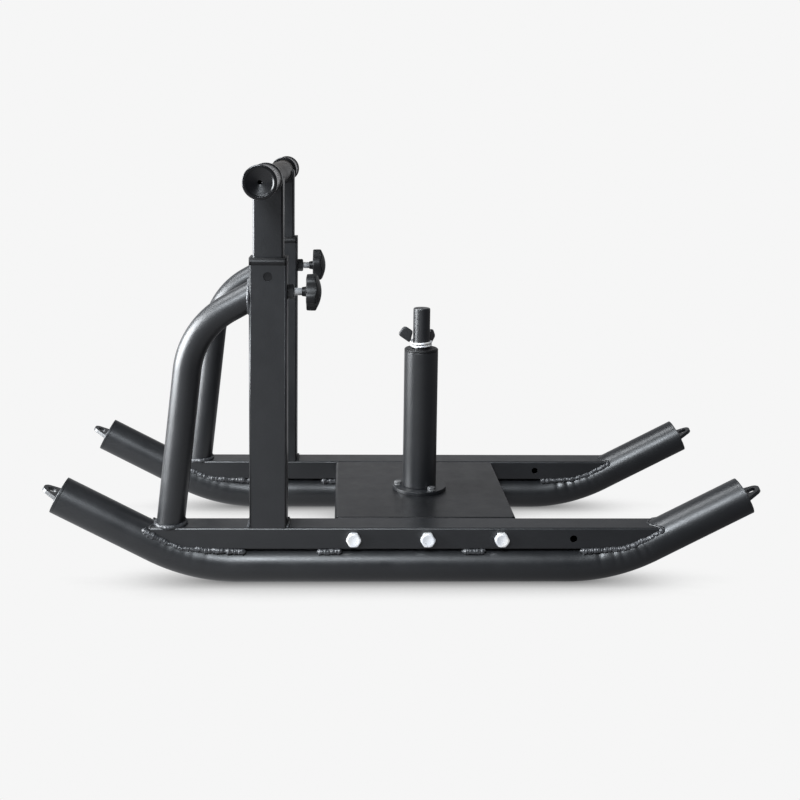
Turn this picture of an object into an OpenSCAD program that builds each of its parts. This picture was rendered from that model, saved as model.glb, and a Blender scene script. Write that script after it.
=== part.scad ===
// Push sled: two bent tube runners with rails, a bolted deck with a weight post,
// and a push handle that slides in two uprights and is held by clamp knobs.
// Millimetres. X points forwards, Z up. The origin is on the floor, under the
// middle of the runners. Right is the -Y side, left is the +Y side.

/* [Runners] */
// Outer diameter of each runner tube
runner_d = 51; // [46:1:56]
// Wall of the runner tube
runner_wall = 2.5; // [2:0.25:4]
// Length of the flat stretch that lies on the floor
flat_l = 448; // [430:2:470]
// Radius of each bend, on the tube's centre line
bend_r = 245; // [225:5:265]
// Angle at which both runner ends rise
rise_angle = 27.5; // [25:0.5:30]
// Length of tube past each bend
rise_l = 142; // [120:2:160]
// Thickness of the disc that closes each runner end
disc_t = 4; // [3:0.5:6]

/* [Tow lugs] */
// Width of a lug where it meets the disc
lug_w = 36; // [32:1:42]
// Length of a lug past the disc
lug_l = 23; // [21:1:30]
// Radius of a lug's round tip
lug_tip_r = 12; // [11:0.5:14]
// Thickness of a lug
lug_t = 5; // [4:0.5:8]
// Diameter of the hole for a tow hook
lug_hole_d = 12; // [8:1:14]

/* [Rails] */
// Width of the sled over the outer faces of the rails
sled_w = 336; // [316:4:400]
// Width of a rail
rail_w = 40; // [38:1:46]
// Height of a rail
rail_h = 30; // [26:1:36]
// Wall of a rail
rail_wall = 2; // [1.5:0.25:3]
// Outer corner radius of the square tubes
corner_r = 3; // [2:0.5:4]
// Reach of a rail in front of the middle
rail_front = 354; // [345:1:358]
// Reach of a rail behind the middle
rail_rear = 342; // [338:1:356]
// Diameter of the rope hole through a rail
rope_hole_d = 10; // [8:1:14]
// Place of the rope hole in front of the middle
rope_hole_x = 229; // [200:1:240]

/* [Uprights and handle] */
// Place of the uprights behind the middle
upright_x = 184; // [170:1:190]
// Length of the upright section, along the sled
upright_l = 50; // [48:1:56]
// Height of an upright above the rail
upright_h = 355; // [340:5:400]
// Wall of an upright
upright_wall = 2; // [1.5:0.25:2.5]
// Length of the leg section, along the sled
leg_l = 40; // [36:1:42]
// Width of the leg section, across the sled
leg_w = 30; // [26:1:32]
// Wall of a leg
leg_wall = 2; // [1.5:0.25:3]
// Height of the bush collar above the upright
bush_collar_h = 9.5; // [6:0.5:14]
// Depth of the bush skirt inside the upright
bush_skirt_h = 28; // [18:1:29]
// Drop of the bush's locking peg below the upright's top
peg_drop = 15; // [10:1:18]
// Diameter of the bush's locking peg
peg_d = 11.6; // [8:0.2:14]
// Height of the slider that closes each leg's lower end
slider_h = 20; // [14:1:30]
// Height of the handlebar's axis above the bush collar
bar_rise = 104; // [80:2:120]
// Diameter of the handlebar
bar_d = 32; // [28:1:34]
// Wall of the handlebar
bar_wall = 2; // [1.5:0.25:3]
// Length over both hand grips
bar_l = 600; // [560:10:700]
// Length of a hand grip
grip_l = 105; // [85:5:110]
// Rubber around the bar in the middle of a grip
grip_wall = 3; // [2:0.5:4]
// Step from a grip's middle to its rims
grip_rim = 2; // [1:0.5:3]
// Depth of the grip's end wall
grip_end_t = 7; // [6:0.5:9]

/* [Braces] */
// Diameter of a brace tube
brace_d = 38; // [32:1:38]
// Wall of a brace tube
brace_wall = 2; // [1.5:0.25:3]
// Place of the brace's foot behind the middle
brace_foot_x = 317; // [312:1:322]
// Forward lean of the brace's lower stretch
brace_lean = 6.5; // [4:0.5:8]
// Slope of the brace's upper stretch
brace_slope = 29.5; // [26:0.5:33]
// Radius of the brace's bend, on its centre line
brace_bend_r = 110; // [95:5:115]
// Drop of the brace's joint below the upright's top
brace_drop = 44; // [42:1:60]

/* [Clamp knobs] */
// Drop of the clamp screw below the upright's top
clamp_drop = 37; // [36:1:60]
// Diameter of the clamp screw
stud_d = 10; // [8:1:12]
// Width across the flats of the clamp nut
clamp_nut_af = 17; // [15:1:19]
// Height of the clamp nut on the upright
clamp_nut_h = 9; // [7:1:12]
// Bare screw between the nut and the knob
stud_bare = 10; // [8:0.5:14]
// Travel of the screw when the knob is opened
stud_travel = 6; // [4:0.5:7]
// Radius over the knob's lobes
knob_r = 25.5; // [23:0.5:28]
// Radius at the bottom of the knob's hollows
knob_hollow_r = 20.8; // [19:0.2:22]
// Thickness of the knob at its middle
knob_t = 20; // [17:0.5:24]
// Thickness of the knob at its lobes
knob_rim_t = 11.5; // [9:0.5:14]
// Length of the knob's neck
knob_neck_h = 6; // [4:0.5:8]
// Number of lobes on the knob
knob_lobes = 5; // [5:1:5]

/* [Deck] */
// Length of the deck along the sled
deck_l = 252; // [240:2:262]
// Sheet thickness of the deck
deck_t = 3; // [2:0.5:4]
// Height of the side flanges that are bolted to the rails
deck_flange_h = 28; // [24:1:29]
// Height of the folded lips at the deck's two ends
deck_lip_h = 20; // [14:1:24]
// Radius of the deck's folds
fold_r = 4; // [3:0.5:5]
// Diameter of the deck bolts
deck_bolt_d = 12; // [10:1:12]
// Distance between neighbouring deck bolts
deck_bolt_pitch = 100; // [90:1:105]
// Width across the flats of the deck bolts
deck_bolt_af = 18; // [17:1:19]

/* [Weight post] */
// Place of the weight post in front of the middle
post_x = 31; // [20:1:36]
// Diameter of the post flange
flange_d = 80; // [78:1:96]
// Thickness of the post flange
flange_t = 5; // [4:0.5:8]
// Diameter of the flange bolts
flange_bolt_d = 6; // [5:0.5:6]
// Radius of the circle that the flange bolts stand on
flange_bolt_r = 32; // [32:0.5:33]
// Diameter of the solid pin
pin_d = 25; // [23:0.5:26]
// Height of the pin above the sleeve
pin_above = 60; // [50:2:80]
// Outer diameter of the adapter sleeve
sleeve_d = 50; // [46:0.5:50]
// Wall of the adapter sleeve
sleeve_wall = 3; // [2:0.5:4]
// Length of the adapter sleeve with its plugs
sleeve_l = 208; // [180:4:240]
// Height of the top plug's rim
plug_rim_h = 4; // [3:0.5:6]
// Depth of a plug inside the sleeve
plug_depth = 18; // [10:1:30]

/* [Spring collar] */
// Diameter of the collar's wire
wire_d = 3; // [2.5:0.1:3.4]
// Rise of one turn of the coil
coil_pitch = 4.2; // [4:0.1:5]
// Azimuth of the lower grip
lower_azimuth = 60; // [40:5:80]
// Full turns between the lower and the upper wire end
coil_turns = 2; // [2:1:3]
// Azimuth of the upper grip
upper_azimuth = 180; // [160:5:200]
// Length of a collar grip, along its wire
paddle_l = 19; // [16:1:24]
// Width of a collar grip
paddle_w = 17; // [14:0.5:18]
// Thickness of a collar grip
paddle_t = 6; // [5:0.5:8]
// Slope of the collar grips
paddle_rise = 34; // [30:1:38]

/* [Hidden] */
$fn = 96;

// Clearances
weld_gap = 0.3;
cope_gap = 0.15;
slide_gap = 0.3;
fit_gap = 0.1;
bolt_gap = 0.5;
// A cut reaches this far past a face
over = 1;
// Straight steps in each arc of a knob's outline
knob_steps = 8;
// Degrees in a half turn and a quarter turn
half_turn = 180;
quarter_turn = 90;
// Narrowing of a knob towards its back
knob_taper = 1;
// Depth of the screw inside the knob's body
stud_depth = 8;

steel = [0.19, 0.19, 0.20];
plain_steel = [0.32, 0.33, 0.35];
zinc = [0.78, 0.79, 0.80];
plastic = [0.07, 0.07, 0.075];
rubber = [0.05, 0.05, 0.055];

runner_r = runner_d / 2;
rail_y = (sled_w - rail_w) / 2;
rail_z = runner_d + weld_gap;
rail_top = rail_z + rail_h;
rail_mid = rail_z + rail_h / 2;

upright_top = rail_top + upright_h;
upright_front = -upright_x + upright_l / 2;
upright_back = -upright_x - upright_l / 2;
well_l = upright_l - 2 * upright_wall;
well_w = rail_w - 2 * upright_wall;
collar_top = upright_top + bush_collar_h;
bar_z = collar_top + bar_rise;
leg_z = rail_top + slide_gap;
leg_front = -upright_x + leg_l / 2;

clamp_z = upright_top - clamp_drop;
stud_tip = leg_front + slide_gap;
neck_x = upright_front + clamp_nut_h + stud_bare;
stud_end = neck_x + knob_neck_h + stud_depth;

deck_w = sled_w - 2 * rail_w;
deck_mid = rail_top - deck_t;
flange_top = rail_top + flange_t;
sleeve_z = flange_top + slide_gap;
sleeve_top = sleeve_z + sleeve_l;
pin_top = sleeve_top + pin_above;

coil_r = pin_d / 2 + slide_gap + wire_d / 2;
coil_z = sleeve_top + slide_gap + wire_d / 2;
coil_angle = 360 * coil_turns + upper_azimuth - lower_azimuth;
coil_rise = coil_pitch * coil_angle / 360;

// Places of the three deck bolts of one rail
deck_bolt_xs = [for (i = [-1:1]) post_x + i * deck_bolt_pitch];
// Angles of the three flange bolts
flange_bolt_angles = [60, 180, 300];

// Helpers

module right_side() {
    translate([0, -rail_y, 0]) children();
}

module left_side() {
    translate([0, rail_y, 0]) mirror([0, 1, 0]) children();
}

module rounded_rect(w, h, r) {
    square([w - 2 * r, h], center = true);
    square([w, h - 2 * r], center = true);
    for (x = [-1, 1], y = [-1, 1]) translate([x * (w / 2 - r), y * (h / 2 - r)]) circle(r);
}

// Rounded only at the two upper corners, with its top edge on the X axis
module folded_outline(w, h, r) {
    translate([-w / 2, -h]) square([w, h - r]);
    translate([-w / 2 + r, -h]) square([w - 2 * r, h]);
    for (x = [-1, 1]) translate([x * (w / 2 - r), -r]) circle(r);
}

// Extrudes an outline along X, with the outline's X as Y and its Y as Z
module along_x(length) {
    rotate([90, 0, 90]) linear_extrude(length) children();
}

// Moves to the front end of a runner's flat stretch, at the middle of the bend's arc
module at_bend() {
    translate([flat_l / 2, 0, runner_r + bend_r]) children();
}

// Moves to the end of a runner's tube, with Z along the tube
module at_front_end() {
    at_bend() rotate([0, -rise_angle, 0]) translate([rise_l, 0, -bend_r]) rotate([0, 90, 0]) children();
}

module at_rear_end() {
    mirror([1, 0, 0]) at_front_end() children();
}

// Solid bars of diameter d along the bend and the rising stretch at both runner ends
module runner_ends(d, extra) {
    for (m = [0, 1]) mirror([m, 0, 0]) at_bend() {
        rotate([90, 0, 0]) rotate([0, 0, -90])
            rotate_extrude(angle = rise_angle) translate([bend_r, 0]) circle(d = d);
        rotate([0, -rise_angle, 0]) translate([0, 0, -bend_r]) rotate([0, 90, 0])
            cylinder(d = d, h = rise_l + extra);
    }
}

module runner_bar(d, extra) {
    translate([-flat_l / 2, 0, runner_r]) rotate([0, 90, 0]) cylinder(d = d, h = flat_l);
    runner_ends(d, extra);
}

// Round bar with a hexagon head, head underside at z = 0 and shank down
module hex_bolt(d, af, head_h, shank_l) {
    head_r = af / sqrt(3);
    intersection() {
        cylinder(r = head_r, h = head_h, $fn = 6);
        rotate_extrude() polygon([
            [0, 0], [head_r, 0], [head_r, head_h * 0.75], [af / 2 - 0.6, head_h], [0, head_h]
        ]);
    }
    translate([0, 0, -shank_l]) cylinder(d = d, h = shank_l + head_h / 2);
}

module hex_nut(d, af, h) {
    nut_r = af / sqrt(3);
    difference() {
        intersection() {
            cylinder(r = nut_r, h = h, $fn = 6);
            rotate_extrude() polygon([
                [0, 0], [af / 2, 0], [nut_r, h * 0.15], [nut_r, h * 0.85], [af / 2, h], [0, h]
            ]);
        }
        translate([0, 0, -over]) cylinder(d = d + 2 * fit_gap, h = h + 2 * over);
    }
}

module washer(d, outer_d, t) {
    difference() {
        cylinder(d = outer_d, h = t);
        translate([0, 0, -over]) cylinder(d = d + bolt_gap, h = t + 2 * over);
    }
}

// Runner side: tube, end discs, tow lugs

module runner() {
    color(steel) difference() {
        runner_bar(runner_d, 0);
        runner_bar(runner_d - 2 * runner_wall, over);
    }
}

module end_disc() {
    color(steel) cylinder(d = runner_d, h = disc_t);
}

module lug_outline() {
    tip_y = lug_l - lug_tip_r;
    reach = norm([lug_w / 2, tip_y]);
    turn = acos(lug_tip_r / reach) - atan2(tip_y, lug_w / 2);
    touch = [lug_tip_r * cos(turn), tip_y + lug_tip_r * sin(turn)];
    polygon([[-lug_w / 2, 0], [lug_w / 2, 0], touch, [-touch[0], touch[1]]]);
    translate([0, tip_y]) circle(lug_tip_r);
}

module tow_lug() {
    color(steel) translate([-lug_t / 2, 0, disc_t]) along_x(lug_t) difference() {
        intersection() {
            lug_outline();
            translate([-lug_w, 0]) square([2 * lug_w, 2 * lug_l]);
        }
        translate([0, lug_l - lug_tip_r]) circle(d = lug_hole_d);
    }
}

// Rail: box section, coped to the runner at both ends
module rail() {
    color(steel) difference() {
        translate([-rail_rear, 0, rail_mid]) along_x(rail_front + rail_rear)
            rounded_rect(rail_w, rail_h, corner_r);
        translate([-rail_rear - over, 0, rail_mid]) along_x(rail_front + rail_rear + 2 * over)
            rounded_rect(rail_w - 2 * rail_wall, rail_h - 2 * rail_wall, corner_r - rail_wall);
        runner_ends(runner_d + 2 * cope_gap, 0);
        for (x = deck_bolt_xs) through_rail(x, deck_bolt_d + bolt_gap);
        through_rail(rope_hole_x, rope_hole_d);
    }
}

module through_rail(x, d) {
    translate([x, rail_w / 2 + over, rail_mid]) rotate([90, 0, 0])
        cylinder(d = d, h = rail_w + 2 * over);
}

// Upright: box section with a hole for the clamp screw and one for the bush's peg
module upright() {
    color(steel) difference() {
        translate([-upright_x, 0, rail_top]) linear_extrude(upright_h) difference() {
            rounded_rect(upright_l, rail_w, corner_r);
            rounded_rect(well_l, well_w, corner_r - upright_wall);
        }
        translate([-upright_x, 0, clamp_z]) rotate([0, 90, 0])
            cylinder(d = stud_d + bolt_gap, h = upright_l);
        translate([-upright_x, 0, upright_top - peg_drop]) rotate([90, 0, 0])
            cylinder(d = peg_d + bolt_gap, h = rail_w);
    }
}

module upright_bush() {
    color(plastic) difference() {
        translate([-upright_x, 0, 0]) {
            translate([0, 0, upright_top]) linear_extrude(bush_collar_h)
                rounded_rect(upright_l, rail_w, corner_r);
            translate([0, 0, upright_top - bush_skirt_h]) linear_extrude(bush_skirt_h + over)
                rounded_rect(well_l - 2 * fit_gap, well_w - 2 * fit_gap, corner_r - upright_wall);
            translate([0, 0, upright_top - peg_drop]) rotate([90, 0, 0])
                cylinder(d = peg_d, h = rail_w / 2 - upright_wall / 2);
        }
        translate([-upright_x, 0, upright_top - bush_skirt_h - over])
            linear_extrude(bush_skirt_h + bush_collar_h + 2 * over)
            rounded_rect(leg_l + 2 * slide_gap, leg_w + 2 * slide_gap, corner_r);
    }
}

// Brace: one bent tube from the rail to the back of the upright

brace_rise = upright_top - brace_drop - rail_top;
brace_run = brace_foot_x - upright_x - upright_l / 2;
brace_turn = 90 - brace_lean - brace_slope;
brace_tangent = brace_bend_r * tan(brace_turn / 2);
brace_det = cos(brace_lean) * cos(brace_slope) - sin(brace_lean) * sin(brace_slope);
brace_lower = (brace_rise * cos(brace_slope) - brace_run * sin(brace_slope)) / brace_det;
brace_upper = (brace_run * cos(brace_lean) - brace_rise * sin(brace_lean)) / brace_det;

module brace_bar(d, extra) {
    straight = brace_lower - brace_tangent;
    translate([-brace_foot_x, 0, rail_top]) rotate([0, brace_lean, 0]) {
        translate([0, 0, -extra]) cylinder(d = d, h = straight + extra);
        translate([brace_bend_r, 0, straight]) {
            rotate([90, 0, 0]) rotate([0, 0, 180 - brace_turn])
                rotate_extrude(angle = brace_turn) translate([brace_bend_r, 0]) circle(d = d);
            rotate([0, brace_turn, 0]) translate([-brace_bend_r, 0, 0])
                cylinder(d = d, h = brace_upper - brace_tangent + extra);
        }
    }
}

module brace() {
    color(steel) difference() {
        brace_bar(brace_d, brace_d);
        brace_bar(brace_d - 2 * brace_wall, brace_d + over);
        translate([-brace_foot_x - 2 * brace_d, -brace_d, rail_top - 2 * brace_d])
            cube([4 * brace_d, 2 * brace_d, 2 * brace_d]);
        translate([upright_back, -brace_d, rail_top + brace_d])
            cube([3 * brace_d, 2 * brace_d, upright_h + brace_d]);
    }
}

// Clamp: nut welded to the upright, screw and lobed knob

module clamp_nut() {
    color(steel) translate([upright_front, 0, clamp_z]) rotate([0, 90, 0])
        hex_nut(stud_d, clamp_nut_af, clamp_nut_h);
}

module clamp_stud() {
    chamfer = 1;
    color(zinc) translate([stud_tip, 0, clamp_z]) rotate([0, 90, 0]) rotate_extrude() polygon([
        [0, 0], [stud_d / 2 - chamfer, 0], [stud_d / 2, chamfer],
        [stud_d / 2, stud_end - stud_tip], [0, stud_end - stud_tip]
    ]);
}

// Points of an arc from angle a to angle b round a centre
function arc(centre, r, a, b, steps) = [for (i = [0:steps]) let (t = a + (b - a) * i / steps)
    centre + r * [cos(t), sin(t)]];

// Drops the last point, which the next stretch of an outline starts with
function open_end(points) = [for (i = [0:len(points) - 2]) points[i]];

// Points of one lobe and the hollow after it, tangent to each other
function knob_lobe(turn) = let (
    lobe_r = knob_r * 0.37,
    lobe_at = knob_r - lobe_r,
    half = half_turn / knob_lobes,
    step = lobe_r - knob_hollow_r,
    hollow_at = (lobe_at * lobe_at - step * step) / (2 * (step + lobe_at * cos(half))),
    hollow_r = hollow_at - knob_hollow_r,
    line = hollow_at * [cos(half), sin(half)] - [lobe_at, 0],
    meet = atan2(line[1], line[0])
) concat(
    open_end(arc(lobe_at * [cos(turn), sin(turn)], lobe_r, turn - meet, turn + meet, knob_steps)),
    open_end(arc(hollow_at * [cos(turn + half), sin(turn + half)], hollow_r,
        turn + meet + half_turn, turn + 2 * half + half_turn - meet, knob_steps))
);

module knob_outline() {
    polygon([for (i = [0:knob_lobes - 1]) each knob_lobe(i * 360 / knob_lobes)]);
}

// Solid of revolution that gives the knob its domed front and tapered side
module knob_dome() {
    drop = knob_t - knob_rim_t;
    dome_r = (knob_r * knob_r + drop * drop) / (2 * drop);
    rotate_extrude() polygon(concat([[0, 0], [knob_r - knob_taper, 0]],
        arc([0, knob_t - dome_r], dome_r, acos(knob_r / dome_r), quarter_turn, knob_steps)));
}

module clamp_knob(turn) {
    color(plastic) translate([neck_x, 0, clamp_z]) rotate([0, 90, 0]) difference() {
        union() {
            cylinder(r1 = stud_d * 0.6, r2 = stud_d * 0.7, h = knob_neck_h);
            translate([0, 0, knob_neck_h]) intersection() {
                rotate(turn) linear_extrude(knob_t) knob_outline();
                knob_dome();
            }
        }
        translate([0, 0, -over]) cylinder(d = stud_d + 2 * fit_gap, h = stud_end - neck_x + over + fit_gap);
    }
}

// Handle: legs, sliders, bar and hand grips

module handle_leg() {
    color(steel) difference() {
        translate([-upright_x, 0, leg_z + slider_h / 4]) linear_extrude(bar_z - leg_z - slider_h / 4)
            difference() {
                rounded_rect(leg_l, leg_w, corner_r);
                rounded_rect(leg_l - 2 * leg_wall, leg_w - 2 * leg_wall, corner_r - leg_wall);
            }
        translate([-upright_x, leg_w, bar_z]) rotate([90, 0, 0])
            cylinder(d = bar_d + 2 * fit_gap, h = 2 * leg_w);
    }
}

// Plastic slider: a foot as wide as the upright's well, with a plug inside the leg
module leg_slider() {
    color(plastic) translate([-upright_x, 0, leg_z]) {
        linear_extrude(slider_h / 4)
            rounded_rect(well_l - 2 * slide_gap, well_w - 2 * slide_gap, corner_r - upright_wall);
        linear_extrude(slider_h) rounded_rect(
            leg_l - 2 * leg_wall - 2 * fit_gap, leg_w - 2 * leg_wall - 2 * fit_gap,
            corner_r - leg_wall);
    }
}

module handlebar() {
    bare_l = bar_l - 2 * grip_end_t;
    color(plain_steel) translate([-upright_x, bare_l / 2, bar_z]) rotate([90, 0, 0]) difference() {
        cylinder(d = bar_d, h = bare_l);
        translate([0, 0, -over]) cylinder(d = bar_d - 2 * bar_wall, h = bare_l + 2 * over);
    }
}

// Hand grip: closed and dished outer end, rim at both ends
module hand_grip() {
    bore_r = bar_d / 2 + fit_gap;
    body_r = bar_d / 2 + grip_wall;
    rim_r = body_r + grip_rim;
    vent_r = 2.5;
    color(rubber) translate([-upright_x, -bar_l / 2, bar_z]) rotate([-90, 0, 0])
        rotate_extrude() polygon([
            [vent_r, grip_end_t * 0.6], [body_r - 3, 1], [body_r - 1.5, 0], [rim_r - 1.5, 0],
            [rim_r - 0.4, 0.5], [rim_r, 1.6], [rim_r, 5], [body_r, 8],
            [body_r, grip_l - 6], [rim_r, grip_l - 4], [rim_r, grip_l - 1], [rim_r - 1, grip_l],
            [bore_r, grip_l], [bore_r, grip_end_t - fit_gap], [vent_r, grip_end_t - fit_gap]
        ]);
}

// Deck: folded pan, level with the rails and bolted between them

module deck_plate() {
    x0 = post_x - deck_l / 2;
    relief_r = 2.5;
    color(steel) difference() {
        intersection() {
            translate([x0, 0, rail_top]) along_x(deck_l) folded_outline(deck_w, deck_flange_h, fold_r);
            translate([post_x, deck_w / 2, rail_top]) rotate([90, 0, 0]) linear_extrude(deck_w)
                folded_outline(deck_l, deck_flange_h, fold_r);
        }
        translate([x0 + deck_t, -deck_w / 2 + deck_t, rail_top - deck_flange_h - over])
            cube([deck_l - 2 * deck_t, deck_w - 2 * deck_t, deck_flange_h - deck_t + over]);
        translate([x0 - over, -deck_w / 2 + deck_t, rail_top - deck_flange_h - over])
            cube([deck_l + 2 * over, deck_w - 2 * deck_t, deck_flange_h - deck_lip_h + over]);
        for (x = [0, 1], y = [0, 1]) translate([post_x, 0, 0]) mirror([x, 0, 0]) mirror([0, y, 0])
            translate([deck_l / 2 - relief_r, deck_w / 2 - relief_r, rail_top - deck_flange_h - over]) {
                cylinder(r = relief_r, h = deck_flange_h + 2 * over);
                cube([relief_r + over, relief_r + over, deck_flange_h + 2 * over]);
            }
        for (x = deck_bolt_xs) translate([x, deck_w / 2 + over, rail_mid]) rotate([90, 0, 0])
            cylinder(d = deck_bolt_d + bolt_gap, h = deck_w + 2 * over);
        at_flange_bolts() translate([0, 0, -flange_t - deck_t - over])
            cylinder(d = flange_bolt_d + bolt_gap, h = deck_t + 2 * over);
    }
}

deck_nut_h = deck_bolt_d * 0.85;
deck_washer_t = 2.5;

// Moves to each deck bolt of a side, with Z pointing out of the rail's outer face
module at_deck_bolts(depth) {
    for (x = deck_bolt_xs) translate([x, -rail_w / 2 + depth, rail_mid]) rotate([90, 0, 0])
        rotate(30) children();
}

module deck_bolts() {
    grip = rail_w + deck_t + deck_washer_t + deck_nut_h;
    color(zinc) at_deck_bolts(0)
        hex_bolt(deck_bolt_d, deck_bolt_af, deck_bolt_d * 0.62, grip + 3);
}

module deck_washers() {
    color(zinc) at_deck_bolts(rail_w + deck_t + deck_washer_t)
        washer(deck_bolt_d, deck_bolt_d * 2, deck_washer_t);
}

module deck_nuts() {
    color(zinc) at_deck_bolts(rail_w + deck_t + deck_washer_t + deck_nut_h)
        hex_nut(deck_bolt_d, deck_bolt_af, deck_nut_h);
}

// Weight post: flange with a solid pin, bolted to the deck

module at_flange_bolts() {
    for (a = flange_bolt_angles) translate([post_x, 0, flange_top]) rotate(a)
        translate([flange_bolt_r, 0, 0]) children();
}

flange_washer_t = 1.2;
flange_nut_h = flange_bolt_d * 0.85;

module post_flange() {
    color(steel) difference() {
        translate([post_x, 0, rail_top]) cylinder(d = flange_d, h = flange_t);
        translate([post_x, 0, rail_top - over])
            cylinder(d = pin_d + 2 * fit_gap, h = flange_t + 2 * over);
        at_flange_bolts() translate([0, 0, -flange_t - over])
            cylinder(d = flange_bolt_d + bolt_gap, h = flange_t + 2 * over);
    }
}

module post_pin() {
    edge = 2;
    color(steel) translate([post_x, 0, rail_top]) rotate_extrude() {
        square([pin_d / 2, pin_top - rail_top - edge]);
        square([pin_d / 2 - edge, pin_top - rail_top]);
        translate([pin_d / 2 - edge, pin_top - rail_top - edge]) intersection() {
            circle(edge);
            square(edge);
        }
    }
}

module post_flange_bolts() {
    grip = flange_washer_t + flange_t + deck_t + flange_nut_h;
    color(zinc) at_flange_bolts() translate([0, 0, flange_washer_t])
        hex_bolt(flange_bolt_d, flange_bolt_d * 10 / 6, flange_bolt_d * 0.67, grip + 2);
}

module post_flange_washers() {
    color(zinc) at_flange_bolts() washer(flange_bolt_d, flange_bolt_d * 2, flange_washer_t);
}

module post_flange_nuts() {
    color(zinc) at_flange_bolts() translate([0, 0, -flange_t - deck_t - flange_nut_h])
        hex_nut(flange_bolt_d, flange_bolt_d * 10 / 6, flange_nut_h);
}

// Adapter sleeve: tube with a rimmed top plug and a flush bottom plug

module adapter_sleeve() {
    color(steel) translate([post_x, 0, sleeve_z]) difference() {
        cylinder(d = sleeve_d, h = sleeve_l - plug_rim_h);
        translate([0, 0, -over]) cylinder(d = sleeve_d - 2 * sleeve_wall, h = sleeve_l + over);
    }
}

module sleeve_plug(rim_h) {
    bore_r = pin_d / 2 + slide_gap;
    plug_r = sleeve_d / 2 - sleeve_wall - fit_gap;
    chamfer = rim_h * 0.35;
    rotate_extrude() polygon(rim_h > 0
        ? [[bore_r, 0], [plug_r, 0], [plug_r, plug_depth], [sleeve_d / 2, plug_depth],
           [sleeve_d / 2, plug_depth + rim_h - chamfer],
           [sleeve_d / 2 - chamfer, plug_depth + rim_h], [bore_r, plug_depth + rim_h]]
        : [[bore_r, 0], [plug_r, 0], [plug_r, plug_depth], [bore_r, plug_depth]]);
}

module sleeve_top_plug() {
    color(plastic) translate([post_x, 0, sleeve_top - plug_rim_h - plug_depth]) sleeve_plug(plug_rim_h);
}

module sleeve_bottom_plug() {
    color(plastic) translate([post_x, 0, sleeve_z]) sleeve_plug(0);
}

// Spring collar: one unbroken tube follows the coil, wire ends carry the grips

rings_per_turn = 24;
wire_sides = 6;
wire_bend_r = 3;
wire_seat = 0.1;
wire_stem = paddle_l * 0.6 + wire_d;
bend_rings = 6;
ring_count = round(rings_per_turn * coil_angle / 360) + 1;

// Points along the coil, from the lower to the upper wire end
coil_points = [for (i = [0:ring_count - 1]) let (a = coil_angle * i / (ring_count - 1)) [
    coil_r * cos(lower_azimuth + a), coil_r * sin(lower_azimuth + a),
    coil_z + coil_pitch * a / 360
]];

// Least gap between points at least three quarters of a turn apart, less the wire
coil_gap = min([
    for (i = [0:ring_count - 1], j = [0:ring_count - 1])
    if (j - i > rings_per_turn * 3 / 4) norm(coil_points[j] - coil_points[i])
]) - wire_d;
echo("least gap of the coil to itself, mm", coil_gap);

// A wire end leaves the coil along Y, turns outwards to X and then rises
end_points = concat(
    [for (i = [0:bend_rings]) let (a = 90 * i / bend_rings)
        [wire_bend_r * (1 - cos(a)), wire_bend_r * sin(a), 0]],
    [for (i = [1:bend_rings]) let (a = paddle_rise * i / bend_rings)
        [wire_bend_r * (1 + sin(a)), wire_bend_r, wire_bend_r * (1 - cos(a))]],
    [[
        wire_bend_r * (1 + sin(paddle_rise)) + wire_stem * cos(paddle_rise), wire_bend_r,
        wire_bend_r * (1 - cos(paddle_rise)) + wire_stem * sin(paddle_rise)
    ]]
);

function unit(v) = v / norm(v);

// Ring of a tube around point i of a path that never runs straight up
function tube_ring(path, i, d) = let (
    along = unit(path[min(i + 1, len(path) - 1)] - path[max(i - 1, 0)]),
    side = unit(cross(along, [0, 0, 1])),
    up = cross(side, along)
) [for (s = [0:wire_sides - 1]) let (a = 360 * s / wire_sides)
    path[i] + d / 2 * (cos(a) * side + sin(a) * up)];

module tube(path, d) {
    n = wire_sides;
    last = (len(path) - 1) * n;
    points = [for (i = [0:len(path) - 1]) each tube_ring(path, i, d)];
    walls = [for (i = [0:len(path) - 2], s = [0:n - 1]) each [
        [i * n + s, i * n + (s + 1) % n, (i + 1) * n + s],
        [i * n + (s + 1) % n, (i + 1) * n + (s + 1) % n, (i + 1) * n + s]
    ]];
    ends = [for (s = [1:n - 2]) each [[0, s + 1, s], [last, last + s, last + s + 1]]];
    polyhedron(points, concat(walls, ends), convexity = 6);
}

module collar_coil() {
    color(zinc) translate([post_x, 0, 0]) tube(coil_points, wire_d);
}

// Frame of a wire end: X outwards, Y along the wire as it leaves the coil
module at_wire_end(azimuth, z, hand) {
    translate([post_x, 0, z]) rotate(azimuth) mirror([0, hand > 0 ? 0 : 1, 0])
        translate([coil_r, wire_seat, 0]) children();
}

module wire_end() {
    color(zinc) tube(end_points, wire_d);
}

// Flat rubber grip moulded on a wire end; start is its place along the wire's slope
module paddle(start) {
    tip_r = 3.5;
    root_r = 1;
    lean = paddle_w * tan(21);
    low = -wire_d * 0.75;
    top = low + paddle_w;
    corners = [
        [start + root_r, low + root_r, root_r],
        [start + root_r + lean, top - root_r, root_r],
        [start + paddle_l + lean / 2 - tip_r, low + tip_r, tip_r],
        [start + paddle_l + lean / 2 - tip_r, top - tip_r, tip_r]
    ];
    color(rubber) difference() {
        translate([wire_bend_r * (1 + sin(paddle_rise)), wire_bend_r, wire_bend_r * (1 - cos(paddle_rise))])
            rotate([0, -paddle_rise, 0]) hull()
            for (c = corners) translate([c[0], paddle_t / 2, c[1]]) rotate([90, 0, 0])
                cylinder(r = c[2], h = paddle_t, $fn = 24);
        tube(end_points, wire_d + 2 * fit_gap);
    }
}

module upper_end() {
    at_wire_end(upper_azimuth, coil_z + coil_rise, 1) children();
}

module lower_end() {
    at_wire_end(lower_azimuth, coil_z, -1) children();
}

// Nodes

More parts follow.
